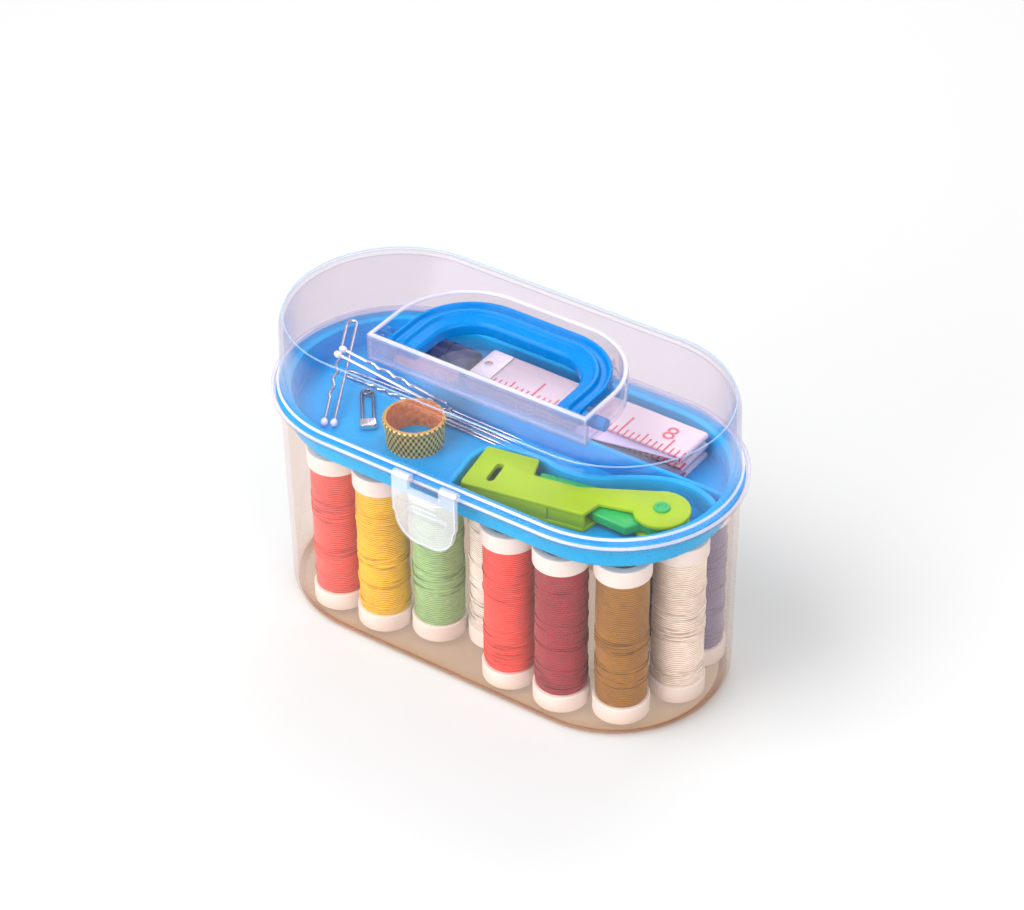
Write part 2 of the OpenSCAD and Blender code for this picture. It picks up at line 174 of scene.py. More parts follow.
def from_snips(point):
    """A point in the snips' own frame, as the box's frame has it."""
    return tuple(SNIPS_AT + Matrix.Rotation(SNIPS_TURN, 2) @ Vector(point))


def oval_depth(point):
    """How far a point lies from the middle line of the box."""
    over = max(abs(point[0]) - HALF_LEN, 0)
    return math.hypot(over, point[1])


def pocket_outline(grow):
    """The handle pocket's outline, straight in front with two round corners behind, drawn out by grow."""
    half, front, back, radius = POCKET
    half, front, back, radius = half + grow, front - grow, back + grow, radius + grow
    right = arc((half - radius, back - radius), radius, 0, 90, 24)
    left = arc((radius - half, back - radius), radius, 90, 180, 24)
    return [(-half, front), (half, front)] + right + left


def long_oval(radius, steps=40):
    """The box's own outline at some distance from its middle line."""
    return arc((HALF_LEN, 0), radius, -90, 90, steps) + arc((-HALF_LEN, 0), radius, 90, 270, steps)


def trimmed(path, radius):
    """A path whose two ends are drawn back to the tub's wall."""
    path = [Vector(p) for p in path]
    for end, following in ((0, 1), (-1, -2)):
        near, far = path[following], path[end]
        for _ in range(30):
            middle = (near + far) / 2
            if oval_depth(middle) < radius:
                near = middle
            else:
                far = middle
        path[end] = near
    return [tuple(p) for p in path]


def cad_box(node):
    """The lowest and highest corners of a CAD node, in millimetres."""
    low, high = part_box(node)
    return low / MM, high / MM


# ---- meshes ----

def new_object(name, data):
    """Puts a new object in the scene."""
    obj = bpy.data.objects.new(name, data)
    bpy.context.scene.collection.objects.link(obj)
    return obj


class Shape:
    """Vertices and faces of one piece, in millimetres."""

    def __init__(self):
        self.points = []
        self.faces = []
        self.uvs = []

    def add(self, points, faces, uvs=None):
        """Adds points, and faces that number them from zero."""
        start = len(self.points)
        self.points += [tuple(p) for p in points]
        self.faces += [[start + i for i in face] for face in faces]
        self.uvs += list(uvs) if uvs else [(0.0, 0.0)] * len(points)
        return self

    def grid(self, rows, closed_along=False, capped=False, uvs=None):
        """Joins rows of points, each a closed ring, into a surface."""
        count, width = len(rows), len(rows[0])
        faces = []
        for j in range(count if closed_along else count - 1):
            for i in range(width):
                a, b = j * width + i, j * width + (i + 1) % width
                c, d = ((j + 1) % count) * width + (i + 1) % width, ((j + 1) % count) * width + i
                faces.append((a, b, c, d))
        if capped:
            faces.append(list(range(width))[::-1])
            faces.append([(count - 1) * width + i for i in range(width)])
        return self.add([p for row in rows for p in row], faces, uvs)

    def slab(self, outline, low, high, edge, steps=2):
        """A flat solid with softened edges."""
        if area(outline) < 0:
            outline = outline[::-1]
        rings = []
        for k in range(steps + 1):
            a = math.pi / 2 * k / steps
            rings.append((inset(outline, edge * (1 - math.sin(a))), edge * (1 - math.cos(a))))
        rows = [[(x, y, low + rise) for x, y in ring] for ring, rise in rings]
        rows += [[(x, y, high - rise) for x, y in ring] for ring, rise in rings[::-1]]
        return self.grid(rows, capped=True)

    def lathe(self, profile, centre=(0, 0, 0), segments=64):
        """A closed profile of (radius, height) turned round an upright line."""
        rows = []
        for i in range(segments):
            a = 2 * math.pi * i / segments
            rows.append([
                (centre[0] + r * math.cos(a), centre[1] + r * math.sin(a), centre[2] + z)
                for r, z in profile
            ])
        return self.grid(rows, closed_along=True)

    def tube(self, path, radius, sides, radii=None, uvs=None):
        """A round wire along a path."""
        path = [Vector(p) for p in path]
        rows, normal = [], None
        for i, point in enumerate(path):
            along = (path[min(i + 1, len(path) - 1)] - path[max(i - 1, 0)]).normalized()
            if normal is None:
                normal = along.orthogonal().normalized()
            normal = (normal - along * normal.dot(along)).normalized()
            side = along.cross(normal)
            r = radii[i] if radii else radius
            rows.append([
                point + (normal * math.cos(a) + side * math.sin(a)) * r
                for a in (2 * math.pi * k / sides for k in range(sides))
            ])
        if uvs:
            uvs = [uv for uv in uvs for _ in range(sides)]
        return self.grid(rows, capped=True, uvs=uvs)

    def bead(self, outline, height, radius, sides=8):
        """A thin round bead along a closed level outline."""
        rows = []
        for here, out in corners(outline):
            row = []
            for k in range(sides):
                a = 2 * math.pi * k / sides
                spot = here + out * radius * math.cos(a)
                row.append((spot.x, spot.y, height + radius * math.sin(a)))
            rows.append(row)
        return self.grid(rows, closed_along=True)

    def turned(self, matrix):
        """Moves the whole shape."""
        self.points = [tuple(matrix @ Vector(p)) for p in self.points]

    def place(self, other, matrix):
        """Adds a moved copy of another shape."""
        self.add([matrix @ Vector(p) for p in other.points], other.faces)

    def piece(self, name, body, slot, material, replaces=(), sharp=35):
        """Makes the Blender object, riding on its CAD body."""
        mesh = bpy.data.meshes.new(name)
        mesh.from_pydata([Vector(p) * MM for p in self.points], [], self.faces)
        layer = mesh.uv_layers.new(name="UVMap")
        for loop in mesh.loops:
            layer.data[loop.index].uv = self.uvs[loop.vertex_index]
        tidy_mesh(mesh)
        mesh.materials.append(material)
        obj = new_object(name, mesh)
        mesh.shade_smooth()
        mesh.set_sharp_from_angle(angle=math.radians(sharp))
        if replaces:
            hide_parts(*replaces)
        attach(obj, body)
        return obj


def tidy_mesh(mesh):
    """Joins doubled points and turns every face outwards."""
    work = bmesh.new()
    work.from_mesh(mesh)
    bmesh.ops.remove_doubles(work, verts=work.verts, dist=1e-7)
    bmesh.ops.dissolve_degenerate(work, edges=work.edges, dist=1e-7)
    bmesh.ops.recalc_face_normals(work, faces=work.faces)
    work.to_mesh(mesh)
    work.free()


def oval_rows(profile, steps=40):
    """A profile of (distance, height) carried round the box's outline."""
    rows = []
    for side, start in ((1, -90), (-1, 90)):
        for i in range(steps + 1):
            a = math.radians(start + 180 * i / steps)
            rows.append([
                (side * HALF_LEN + r * math.cos(a), r * math.sin(a), z) for r, z in profile
            ])
    return rows


# ---- materials ----

def screen(red, green, blue):
    """A colour given by its 0 to 255 screen values, in linear light."""
    linear = []
    for value in (red, green, blue):
        part = value / 255
        linear.append(part / 12.92 if part < 0.04 else ((part + 0.055) / 1.055) ** 2.4)
    return (*linear, 1.0)


def scaled(colour, factor):
    """A colour made lighter or darker."""
    return (*[min(1.0, c * factor) for c in colour[:3]], 1.0)


class Paint:
    """A node material under construction."""

    def __init__(self, name):
        self.material = bpy.data.materials.new(name)
        self.material.use_nodes = True
        self.tree = self.material.node_tree
        self.shader = self.tree.nodes["Principled BSDF"]
        self.output = self.tree.nodes["Material Output"]

    def node(self, kind, **settings):
        made = self.tree.nodes.new(kind)
        for key, value in settings.items():
            setattr(made, key, value)
        return made

    def link(self, source, target):
        self.tree.links.new(source, target)

    def feed(self, socket, source):
        """Drives one of the shader's inputs."""
        self.link(source, self.shader.inputs[socket])

    def fill(self, sockets, values):
        """Sets each input to a plain value, or links it."""
        for socket, value in zip(sockets, values):
            if isinstance(value, bpy.types.NodeSocket):
                self.link(value, socket)
            else:
                socket.default_value = value

    def math(self, operation, *values):
        made = self.node("ShaderNodeMath", operation=operation)
        self.fill(made.inputs, values)
        return made.outputs[0]

    def facing(self, blend):
        """How far the surface turns away from the eye."""
        made = self.node("ShaderNodeLayerWeight")
        made.inputs["Blend"].default_value = blend
        return made.outputs["Facing"]

    def mix(self, share, first, second):
        """Mixes two shaders."""
        made = self.node("ShaderNodeMixShader")
        self.fill(made.inputs, (share, first, second))
        return made.outputs[0]

    def split(self, source):
        """The three parts of a vector."""
        made = self.node("ShaderNodeSeparateXYZ")
        self.link(source, made.inputs[0])
        return made.outputs

    def coords(self, kind="Object"):
        return self.node("ShaderNodeTexCoord").outputs[kind]

    def noise(self, scale, detail=3.0, coords="Object", stretch=None):
        """Soft noise, with its scale in cycles per metre."""
        made = self.node("ShaderNodeTexNoise")
        made.inputs["Scale"].default_value = scale
        made.inputs["Detail"].default_value = detail
        source = self.coords(coords)
        if stretch:
            mapping = self.node("ShaderNodeMapping")
            mapping.inputs["Scale"].default_value = stretch
            self.link(source, mapping.inputs["Vector"])
            source = mapping.outputs["Vector"]
        self.link(source, made.inputs["Vector"])
        return made.outputs["Fac"]

    def span(self, source, low, high, from_low=0.3, from_high=0.7):
        """Maps a 0 to 1 pattern to a range."""
        made = self.node("ShaderNodeMapRange")
        made.inputs["From Min"].default_value = from_low
        made.inputs["From Max"].default_value = from_high
        made.inputs["To Min"].default_value = low
        made.inputs["To Max"].default_value = high
        self.link(source, made.inputs["Value"])
        return made.outputs["Result"]

    def blend(self, factor, first, second):
        """Mixes two colours, each a colour or a socket."""
        made = self.node("ShaderNodeMix", data_type="RGBA")
        # A mix node has a set of sockets for each kind of data. These are for colours.
        self.fill([made.inputs[i] for i in (0, 6, 7)], (factor, first, second))
        return made.outputs[2]

    def bump(self, height, strength, distance):
        made = self.node("ShaderNodeBump")
        made.inputs["Strength"].default_value = strength
        made.inputs["Distance"].default_value = distance
        self.link(height, made.inputs["Height"])
        self.feed("Normal", made.outputs["Normal"])

    def set(self, **values):
        """Sets the shader's plain values, each named after its socket."""
        for key, value in values.items():
            self.shader.inputs[key.replace("_", " ")].default_value = value


def moulded(name, colour, rough, mottle=0.1, grain=0.25, shine=0.5):
    """Injection-moulded plastic: slight clouding, fine surface grain and uneven gloss."""
    paint = Paint(name)
    clouds = paint.span(paint.noise(90, 4), 0, 1)
    paint.feed("Base Color", paint.blend(clouds, scaled(colour, 1 - mottle), scaled(colour, 1 + mottle)))
    paint.feed("Roughness", paint.span(paint.noise(400, 5), rough - 0.06, rough + 0.08))
    paint.bump(paint.noise(2600, 2), grain, 0.00004)
    paint.set(IOR=1.49, Specular_IOR_Level=shine)
    return paint.material


def clear_plastic(name, haze, edge, body_tint, body_shade, painted_foot_tan=None):
    """Clear plastic with a faint milkiness and tint that grow where the wall is seen edge on.

    The foot colour is a painted warm tan for the lowest few millimetres, standing in for light and shade
    seen there, not the plastic's own colour.
    """
    paint = Paint(name)
    steep = paint.math("POWER", paint.facing(0.35), 2.2)
    tint = paint.blend(steep, body_tint, (*[part ** 4 for part in body_tint[:3]], 1.0))
    if painted_foot_tan:
        height = paint.split(paint.coords())["Z"]
        tint = paint.blend(paint.span(height, 0, 1, 0.0012, 0.005), painted_foot_tan, tint)
    sheer = paint.node("ShaderNodeBsdfTransparent")
    paint.link(tint, sheer.inputs["Color"])
    clouds = paint.span(paint.noise(55, 3), 0, 1)
    paint.feed("Base Color", paint.blend(clouds, scaled(body_shade, 0.95), body_shade))
    paint.feed("Roughness", paint.span(paint.noise(300, 4), 0.16, 0.3))
    paint.bump(paint.noise(1200, 2), 0.12, 0.00004)
    share = paint.span(steep, haze, haze + edge, 0, 1)
    cloudy = paint.math("MULTIPLY", share, paint.span(paint.noise(70, 2), 0.85, 1.15))
    body = paint.mix(cloudy, sheer.outputs[0], paint.shader.outputs[0])
    mirror = paint.node("ShaderNodeBsdfGlossy")
    mirror.inputs["Color"].default_value = (1, 1, 1, 1)
    mirror.inputs["Roughness"].default_value = 0.07
    grazing = paint.math("POWER", paint.facing(0.5), 5.0)
    both = paint.mix(paint.span(grazing, 0.01, 0.7, 0, 1), body, mirror.outputs[0])
    paint.link(both, paint.output.inputs["Surface"])
    return paint.material


def wound_thread(name, colour):
    """Dyed thread: fine lines round the spool with painted shade between the turns and painted highlights
    on them, uneven tone and a soft sheen.
    """
    paint = Paint(name)
    lines = paint.node("ShaderNodeTexWave", bands_direction="Y")
    lines.inputs["Scale"].default_value = 0.55
    lines.inputs["Distortion"].default_value = 1.6
    lines.inputs["Detail"].default_value = 2.0
    lines.inputs["Detail Scale"].default_value = 0.6
    paint.link(paint.coords("UV"), lines.inputs["Vector"])
    shade = paint.noise(1.1, 4, "UV", (0.35, 1.6, 1))
    turn_shade_mask = paint.span(lines.outputs["Fac"], 0, 1, 0, 1)
    # Painted shade between the turns and painted highlight on them: darker and lighter copies of the
    # thread's colour.
    turns_painted_light_and_shade = paint.blend(turn_shade_mask, scaled(colour, 0.48), scaled(colour, 1.25))
    worn = paint.span(shade, 0.0, 0.5, 0.45, 0.75)
    paint.feed("Base Color", paint.blend(worn, turns_painted_light_and_shade, scaled(colour, 1.5)))
    paint.bump(lines.outputs["Fac"], 0.3, 0.00012)
    paint.feed("Roughness", paint.span(shade, 0.55, 0.8))
    paint.set(Sheen_Weight=0.35, Sheen_Roughness=0.4)
    return paint.material


def metal(name, colour, rough, brushed=(1, 1, 1), scale=700, metallic=1.0):
    """Plated or drawn metal with fine marks."""
    paint = Paint(name)
    marks = paint.noise(scale, 5, "Object", brushed)
    paint.feed("Base Color", paint.blend(paint.span(marks, 0, 1), scaled(colour, 0.82), colour))
    paint.feed("Roughness", paint.span(marks, rough - 0.07, rough + 0.1))
    paint.bump(marks, 0.15, 0.00002)
    paint.set(Metallic=metallic)
    return paint.material


def knurled_brass(name):
    """Brass with painted highlights on its pips and painted shade in the valleys, and a copper inside
    painted light to make up for the shade in the hollow.

    U counts the pips round it and V the rows of pips. V is below zero inside.
    """
    paint = Paint(name)
    along, up = paint.split(paint.coords("UV"))[:2]
    waves = [paint.math("COSINE", paint.math("MULTIPLY", part, 2 * math.pi)) for part in (along, up)]
    product = paint.math("MULTIPLY", *waves)
    height = paint.span(product, 0, 1, -0.5, 0.6)
    # Painted highlight on the pip tops and painted shade in the valleys between them.
    pips = paint.blend(height, screen(104, 70, 16), screen(255, 226, 116))
    clouds = paint.span(paint.noise(900, 4), 0, 1)
    # Copper inside, made lighter to make up for the shade in the hollow.
    inside = paint.blend(clouds, screen(226, 118, 48), screen(255, 168, 88))
    outside = paint.math("GREATER_THAN", up, 0.0)
    paint.feed("Base Color", paint.blend(outside, inside, pips))
    paint.feed("Roughness", paint.span(product, 0.42, 0.26, -1, 1))
    paint.set(Metallic=0.15)
    return paint.material


def printed_tape(name):
    """Coated tape with graduation lines along its front edge.

    U runs along the tape in millimetres and V across it.
    """
    paint = Paint(name)
    along, across = paint.split(paint.coords("UV"))[:2]
    marks = None
    inch = 25.4
    sizes = ((inch / 16, 2.6, 0.5), (inch / 4, 3.8, 0.55), (inch / 2, 5.4, 0.6), (inch, 7.4, 0.6))
    for step, length, width in sizes:
        within = paint.math("LESS_THAN", paint.math("MODULO", along, step), width)
        line = paint.math("MULTIPLY", within, paint.math("LESS_THAN", across, length))
        marks = line if marks is None else paint.math("MAXIMUM", marks, line)
    border = paint.math("LESS_THAN", across, 0.35)
    weave = paint.noise(2.5, 3, "UV")
    ground = paint.blend(paint.span(weave, 0, 1), screen(212, 194, 206), screen(232, 216, 224))
    edged = paint.blend(border, ground, screen(196, 150, 176))
    paint.feed("Base Color", paint.blend(marks, edged, screen(206, 60, 84)))
    paint.feed("Roughness", paint.span(weave, 0.38, 0.55))
    paint.bump(weave, 0.2, 0.00004)
    return paint.material


def chalky(name, colour):
    """Pressed tailor's chalk: powdery, with small pits."""
    paint = Paint(name)
    grains = paint.noise(1500, 6)
    shade = paint.span(grains, 0, 1)
    paint.feed("Base Color", paint.blend(shade, scaled(colour, 0.85), scaled(colour, 1.1)))
    paint.bump(grains, 0.5, 0.0001)
    paint.set(Roughness=0.92)
    return paint.material


def studio_floor():
    """Matt, and dark enough that the lights can be bright without washing it out."""
    paint = Paint("studio_floor")
    paint.set(Base_Color=(0.56, 0.56, 0.56, 1), Roughness=0.9)
    return paint.material


THREADS = {
    "red": screen(222, 84, 78),
    "yellow": screen(255, 186, 16),
    "green": screen(146, 190, 130),
    "white": screen(238, 226, 214),
    "coral": screen(255, 74, 66),
    "crimson": screen(152, 40, 56),
    "brown": screen(150, 104, 36),
    "beige": screen(244, 220, 206),
    "navy": screen(116, 104, 140),
    "black": screen(34, 34, 40),
}

LOOKS = {
    "clear_lid": clear_plastic("clear_lid", 0.01, 0.14, (0.94, 0.918, 0.938, 1), screen(212, 204, 226)),
    "clear_base": clear_plastic(
        "clear_base", 0.01, 0.12, (0.984, 0.957, 0.943, 1), screen(230, 208, 198),
        # Painted warm tan at the foot, for light and shade seen on the base's floor.
        painted_foot_tan=(0.945, 0.857, 0.768, 1),
    ),
    "clear_latch": clear_plastic("clear_latch", 0.26, 0.3, (0.98, 0.98, 0.985, 1), screen(236, 236, 242)),
    # Milky white for thin beads on clear edges: painted highlights where those edges catch the light.
    "clear_edge_highlight": clear_plastic("clear_edge_highlight", 0.45, 0.4, (0.95, 0.95, 0.98, 1), screen(240, 242, 252)),
    # Painted tan-brown for the edge round the base's foot, standing for light and shade seen there.
    "clear_foot_painted_tan": clear_plastic("clear_foot_painted_tan", 0.08, 0.2, (0.87, 0.77, 0.7, 1), screen(216, 190, 172)),
    # Pale blue milk for sheets laid in the lid: a painted haze of the blue parts seen through the wall,
    # and a painted highlight line.
    "clear_pane_painted_light": clear_plastic("clear_pane_painted_light", 0.34, 0.2, (0.93, 0.96, 0.99, 1), screen(168, 196, 232)),
    "tray_blue": moulded("tray_blue", screen(0, 172, 236), 0.3, 0.08, 0.2, 0.15),
    "handle_blue": moulded("handle_blue", screen(0, 116, 190), 0.24, 0.08, 0.15, 0.14),
    "lime": moulded("lime_plastic", screen(162, 202, 6), 0.34, 0.08, 0.25, 0.22),
    "green": moulded("green_plastic", screen(16, 182, 84), 0.3, 0.08),
    "spool": moulded("spool_white", screen(232, 225, 222), 0.5, 0.04, 0.25, 0.3),
    "white": moulded("white_plastic", screen(246, 246, 248), 0.25, 0.03),
    "card": moulded("card_slate", screen(86, 98, 140), 0.6, 0.2),
    "case": moulded("case_navy", screen(6, 34, 88), 0.25, 0.2, 0.25, 0.2),
    "brass": knurled_brass("thimble_brass"),
    "steel": metal("pin_steel", screen(216, 218, 232), 0.16),
    # Darker steel for the safety pins: a painted dark reflection of their surroundings, not a darker
    # metal.
    "steel_painted_dark_reflection": metal("steel_painted_dark_reflection", screen(148, 140, 150), 0.16),
    "chrome": metal("cap_chrome", screen(238, 240, 244), 0.1),
    "tip": metal("tip_steel", screen(226, 222, 234), 0.42, (0.1, 1, 1), 1500, 0.5),
    "tape": printed_tape("tape_white"),
    "tape_back": moulded("tape_back", screen(206, 196, 232), 0.55, 0.1, 0.4, 0.3),
    "chalk": chalky("chalk_peach", screen(238, 168, 140)),
}


# ---- spools ----

def spool_centre(colour):
    """The middle of a spool's foot."""
    low, high = cad_box(f"spool_{colour}")
    return ((low.x + high.x) / 2, (low.y + high.y) / 2, low.z)


def spool_tube(colour):
    """A paper-white tube with soft lips and a thin groove under each lip."""
    neck = SPOOL_H - SPOOL_END
    outer = [
        (BORE_R, 0), (SPOOL_R, 0), (SPOOL_R, SPOOL_END), (CORE_R, SPOOL_END), (CORE_R, neck),
        (SPOOL_R, neck), (SPOOL_R, SPOOL_H), (BORE_R, SPOOL_H),
    ]
    shape = Shape().lathe(rounded(outer, 0.35), spool_centre(colour))
    node = f"spool_{colour}"
    shape.piece(f"tube_{colour}", node, "spool_white", LOOKS["spool"], [node])


def winding_radius(turn, angle, z, seed):
    """The thread's surface: one rounded ridge a turn, on a slightly uneven pack."""
    ridge = math.sqrt(abs(math.sin(math.pi * turn)))
    swell = noise.noise(Vector((math.cos(angle) * 0.7 + seed, math.sin(angle) * 0.7, z * 0.16)))
    return PACK_R + 0.13 * ridge + 0.12 * swell


def winding(colour, seed):
    """The thread on a spool, wound in close turns with some that cross them."""
    cx, cy, cz = spool_centre(colour)
    low = cz + SPOOL_END
    pitch, per_turn, segments = 0.56, 4, 56
    rows, uvs = [], []
    count = round(WOUND_H / pitch * per_turn)
    for j in range(count + 1):
        z = WOUND_H * j / count
        rim = min(1.0, 0.25 + min(z, WOUND_H - z) / 0.5)
        row = []
        for i in range(segments):
            a = 2 * math.pi * i / segments
            lean = 0.25 * math.sin(a + seed + z * 0.21)
            r = CORE_R + (winding_radius(z / pitch + i / segments + lean, a, z, seed) - CORE_R) * rim
            row.append((cx + r * math.cos(a), cy + r * math.sin(a), low + z))
            uvs.append((a * THREAD_R, z + lean * pitch))
        rows.append(row)
    shape = Shape().grid(rows, uvs=uvs)
    crossing_threads(shape, (cx, cy, low), seed)
    shape.piece(
        f"winding_{colour}", f"spool_{colour}", f"thread_{colour}",
        wound_thread(f"thread_{colour}", THREADS[colour]), [f"thread_{colour}"], sharp=80,
    )


def crossing_threads(shape, foot, seed):
    """Adds the turns that climb or fall across the others, on a winding with its foot at a point."""
    cx, cy, low = foot
    chance = random.Random(seed)
    for _ in range(9):
        start, turns = chance.uniform(0, 6.28), chance.uniform(0.8, 2.0)
        z0 = chance.uniform(1.5, WOUND_H - 6)
        rise = chance.uniform(1.2, 4.0) * chance.choice((-1, 1))
        z0 = min(max(z0, 1 - min(rise, 0)), WOUND_H - 1 - max(rise, 0))
        steps = round(turns * 30)
        path, marks = [], []
        for k in range(steps + 1):
            t = k / steps
            a = start + turns * 2 * math.pi * t
            r = PACK_R + 0.26 * math.sin(math.pi * t) ** 0.3
            path.append((cx + r * math.cos(a), cy + r * math.sin(a), low + z0 + rise * t))
            marks.append((a * THREAD_R, z0 + rise * t))
        shape.tube(path, 0.12, 6, uvs=marks)


# ---- tray ----

def tub_profile():
    """Half the tray's section: floor, wall, flange and back down inside."""
    inner = TUB_R - TUB_WALL
    seat, top = BASE_TOP + CONTACT_GAP, TRAY_TOP - CONTACT_GAP
    return [
        (0, TRAY_UNDER), *arc((TUB_R - 1, TRAY_UNDER + 1), 1, -90, 0, 4), (TUB_R, seat - 0.2),
        (TUB_R + 0.2, seat), *arc((FLANGE_R - 0.3, seat + 0.3), 0.3, -90, 0, 3),
        *arc((FLANGE_R - 0.4, top - 0.4), 0.4, 0, 90, 3),
        *arc((inner + 0.4, top - 0.4), 0.4, 90, 180, 3),
        *arc((inner - 0.8, TRAY_FLOOR + 0.8), 0.8, 0, -90, 4), (0, TRAY_FLOOR)
    ]


def snips_bay_path():
    """The middle line of the wall round the snips."""
    points = [
        (-2.4, -14), (-2.4, 9.4), (14.6, 9.2), (17.5, 7.0), (27, 6.4), (34, 10.2),
        (41, 13.0), (47, 13.8), (53, 12.0), (60, 6.5)
    ]
    return trimmed([from_snips(p) for p in points], TUB_R - TUB_WALL / 2)


def smooth_path(path, passes=2):
    """A path with its corners cut, its ends kept."""
    for _ in range(passes):
        points = [path[0]]
        for a, b in zip(path, path[1:]):
            first, last = Vector(a), Vector(b)
            points += [tuple(first.lerp(last, 0.25)), tuple(first.lerp(last, 0.75))]
        path = points + [path[-1]]
    return path


def bay_floor(path):
    """The raised floor under the snips: the bay's wall, then back along the tub's wall."""
    radius = TUB_R - TUB_WALL / 2
    last = math.degrees(math.atan2(path[-1][1], path[-1][0] - HALF_LEN))
    return path + arc((HALF_LEN, 0), radius, last, -90, 24)


def tray():
    """The tray: its tub, its divider, and the bay and raised floor for the snips."""
    shape = Shape().grid(oval_rows(tub_profile()), closed_along=True)
    foot = TRAY_FLOOR - 0.6
    reach = TUB_R - TUB_WALL / 2
    bay_end = math.sqrt(reach ** 2 - (BACK_BAY_X + HALF_LEN) ** 2)
    divider = [(BACK_BAY_X, bay_end), (BACK_BAY_X, DIVIDER_Y), (HALF_LEN + reach - 0.6, DIVIDER_Y)]
    shape.slab(wall_outline(divider, 1.2), foot, TRAY_TOP - 0.6, 0.35, 3)
    path = snips_bay_path()
    shape.slab(wall_outline(smooth_path(path), 1.6), foot, TRAY_TOP - 0.3, 0.5, 3)
    shape.slab(bay_floor(path), foot, SNIPS_Z, 0.05, 1)
    shape.piece("tray_moulding", "tray", "tray_blue", LOOKS["tray_blue"], ["tray"])


# ---- handle ----

def handle_section(squash):
    """Across the bar: a flat outer band, a raised bead and a slope down to the inner edge."""
    outline = [
        (3.7, -2.4), (3.7, 2.3), (2.9, 2.4), (2.4, 1.3), (1.0, 1.3), (0.5, 2.4), (-0.4, 2.4),
        (-0.9, 1.6), (-3.0, 0.9), (-3.7, 0.2), (-3.7, -2.4)
    ]
    return [(n, z * squash) for n, z in rounded(outline, 0.5, 3)]


def handle_path():
    """The middle line of the bar, with the way out from it and how thick it is there."""
    half, back, radius, bar, nose = 27.0, 16.8, 17.3, 3.7, 2.4
    middle = radius - bar
    stations = []
    for i in range(9):
        past = nose * math.cos(math.pi / 2 * i / 8)
        thick = max(0.05, math.sqrt(max(0, 1 - (past / nose) ** 2)))
        stations.append((-(half - bar), PIVOT_Y - past, 180, thick))
    for i in range(19):
        a = 180 - 90 * i / 18
        way = math.radians(a)
        stations.append((
            -(half - radius) + middle * math.cos(way), back - radius + middle * math.sin(way), a, 1.0
        ))
    right = [(-x, y, 180 - a, thick) for x, y, a, thick in stations]
    return stations + right[::-1]


def handle():
    """The carry handle: a bent bar with a pivot pin on each end."""
    rows = []
    for x, y, angle, thick in handle_path():
        a = math.radians(angle)
        rows.append([
            (x + n * math.cos(a), y + n * math.sin(a), PIVOT_Z + z) for n, z in handle_section(thick)
        ])
    shape = Shape().grid(rows, capped=True)
    for side in (-1, 1):
        pin = rounded([(0, 26), (1.6, 26), (1.6, 33.4), (0, 33.4)], 0.35)
        outwards = Matrix.Rotation(side * math.pi / 2, 4, "Y")
        shape.place(Shape().lathe(pin, segments=32), Matrix.Translation((0, PIVOT_Y, PIVOT_Z)) @ outwards)
    shape.piece("carry_handle", "handle", "handle_blue", LOOKS["handle_blue"], ["handle"])


# ---- snips ----

CASING = [
    (0, -7.6), (31, -7.4), (32.8, -2.2), (40.8, -1.4), *arc(RIVET, 6.8, -135, 120, 22), (26, 1.7),
    (14.6, 1.6), (13.4, 7.6), (0, 7.6)
]
LEVER = [
    (15, 2.6), (25, 2.4), (32, -4.4), (41, -6.2), *arc(RIVET, 5.8, -120, 100, 18),
    (36, 5.6), (26, 5.2), (15, 5.2)
]


def snips_frame():
    """The place of the snips in the tray."""
    return Matrix.Translation((SNIPS_AT.x, SNIPS_AT.y, SNIPS_Z)) @ Matrix.Rotation(SNIPS_TURN, 4, "Z")


def slotted_plate(low, high):
    """The casing's top plate, with a long slot near its head."""
    plate = Shape().slab(rounded(CASING, 0.9), low, high, 0.35, 3)
    slot = arc((6, 1.4), 1, 0, 180, 10) + arc((6, -3.8), 1, 180, 360, 10)
    return cut(plate, plug(slot, low, high))


def plug(outline, low, high):
    """What fills a hole through a plate, and a little more above and below."""
    return Shape().grid([[(x, y, z) for x, y in outline] for z in (low - 1, high + 1)], capped=True)


def cut(shape, tool):
    """One shape with another taken out of it."""
    objects = []
    for part in (shape, tool):
        mesh = bpy.data.meshes.new("cutting")
        mesh.from_pydata(part.points, [], part.faces)
        tidy_mesh(mesh)
        objects.append(new_object("cutting", mesh))
    modifier = objects[0].modifiers.new("cut", "BOOLEAN")
    modifier.object = objects[1]
    modifier.solver = "EXACT"
    made = objects[0].evaluated_get(bpy.context.evaluated_depsgraph_get()).to_mesh()
    result = Shape().add([v.co.copy() for v in made.vertices], [list(p.vertices) for p in made.polygons])
    for obj in objects:
        bpy.data.objects.remove(obj)
    return result


def snips_casing():
    """Two plates joined by a front wall and an end wall, with a fin on the lower plate."""
    plate = 1.2
    shape = slotted_plate(SNIPS_H - plate, SNIPS_H)
    shape.slab(rounded(CASING, 0.9), 0, plate, 0.3)
    shape.slab([(22, 1.4), (26, 1.7), (40, 7.2), (41.4, 9.8)], 0.02, 1.18, 0.15)
    for wall in ((0, -7.4, 21.8, -6.2), (22, -7.2, 31, -6.2), (0, -7.4, plate, 7.4)):
        shape.slab(oblong(*wall), 0.3, SNIPS_H - 0.4, 0.12)
    shape.turned(snips_frame())
    shape.piece("snips_body", "tray", "lime_plastic", LOOKS["lime"], ["snips_casing"])


def snips_lever():
    """The lever between the plates, squeezed against its spring."""
    shape = Shape().slab(rounded(LEVER, 0.8), 1.5, 4.1, 0.5, 3)
    shape.turned(snips_frame())
    shape.piece("snips_squeeze_lever", "snips_lever", "green_plastic", LOOKS["green"], ["snips_lever"])


def snips_rivet():
    """The rivet the lever turns on, with a dished head."""
    profile = [(0, 0), (1.2, 0), (1.2, 5.6), (1.9, 5.6), (1.9, 6.2), (1.1, 6.2), (0.9, 5.9), (0, 5.9)]
    shape = Shape().lathe(rounded(profile, 0.2), segments=32)
    shape.turned(snips_frame() @ Matrix.Translation((RIVET.x, RIVET.y, 0)))
    shape.piece("snips_hollow_rivet", "tray", "green_plastic", LOOKS["green"], ["snips_rivet"])


# ---- small things ----

